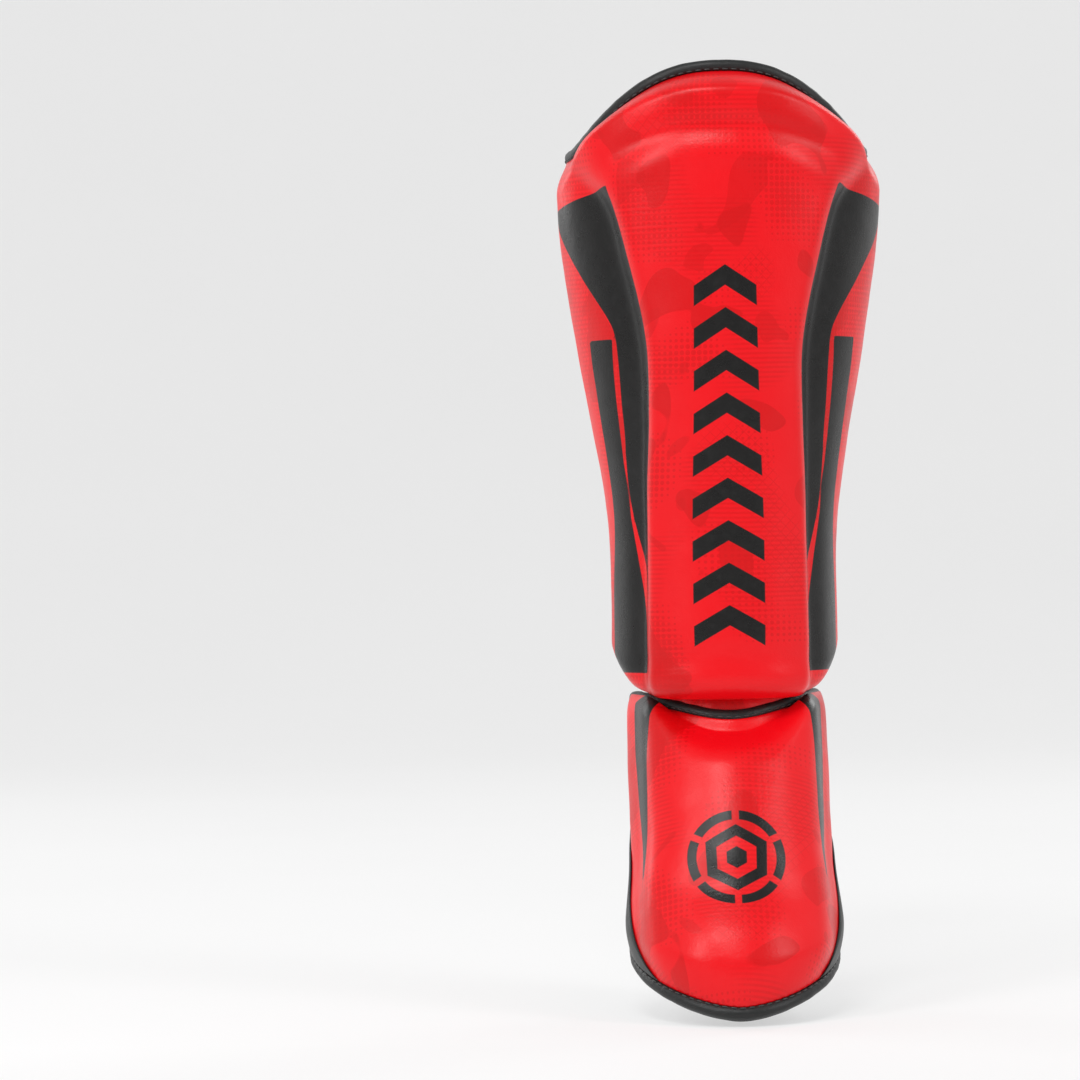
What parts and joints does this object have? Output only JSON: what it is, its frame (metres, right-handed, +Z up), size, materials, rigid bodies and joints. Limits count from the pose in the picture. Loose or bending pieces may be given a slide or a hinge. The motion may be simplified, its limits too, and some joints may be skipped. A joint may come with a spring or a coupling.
{
  "type": "shin guard",
  "caption": "Padded shin and instep guard with a hinged instep pad, elastic foot strap and hook-and-loop calf straps.",
  "frame": {"origin": "centre of the ankle, on the leg's line and level with the instep hinge", "axes": "+Z up along the leg, the front of the shin faces -Y, +X is the viewer's right from the front"},
  "size_m": [0.151, 0.2012, 0.4488],
  "materials": {
    "red_skin": "printed synthetic leather, satin gloss",
    "black_skin": "smooth synthetic leather, satin",
    "black_knit": "brushed knit lining, matte",
    "black_elastic": "woven elastic, matte",
    "black_pile": "hook-and-loop pile, matte",
    "grey_foam": "closed-cell foam, matte",
    "thread": "polyester thread"
  },
  "bodies": {
    "shin": {"shin_cover": "red_skin", "shin_foam": "grey_foam", "shin_lining": "black_knit", "shin_edge_binding": "black_skin", "ankle_gusset": "red_skin", "ankle_bar_tack": "thread", "upper_loop_patch": "black_pile", "upper_strap_anchor": "black_skin", "lower_loop_patch": "black_pile", "lower_strap_anchor": "black_skin"},
    "upper_strap": {"upper_strap_hook": "black_pile", "upper_strap_backing": "black_knit", "upper_strap_panel": "black_elastic", "upper_strap_tip": "black_skin", "upper_strap_binding": "black_skin"},
    "lower_strap": {"lower_strap_hook": "black_pile", "lower_strap_backing": "black_knit", "lower_strap_panel": "black_skin", "lower_strap_binding": "black_skin"},
    "instep": {"instep_cover": "red_skin", "instep_foam": "grey_foam", "instep_lining": "black_knit", "instep_edge_binding": "black_skin", "toe_side_panel_left": "black_skin", "toe_side_panel_right": "black_skin", "foot_strap": "black_elastic"}
  },
  "joints": [
    {"name": "upper_strap_open", "type": "hinge", "parent": "shin", "child": "upper_strap", "pos_m": [-0.0396, 0.06216, 0.22525], "axis": [-0.0568, 0.0547, 0.9969], "range_deg": [0, 110]},
    {"name": "lower_strap_open", "type": "hinge", "parent": "shin", "child": "lower_strap", "pos_m": [-0.02923, 0.04938, 0.06], "axis": [-0.0124, 0.021, 0.9997], "range_deg": [0, 110]},
    {"name": "ankle_flex", "type": "hinge", "parent": "shin", "child": "instep", "pos_m": [0, -0.0471, 0], "axis": [-1, 0, 0], "range_deg": [-10, 35]}
  ]
}
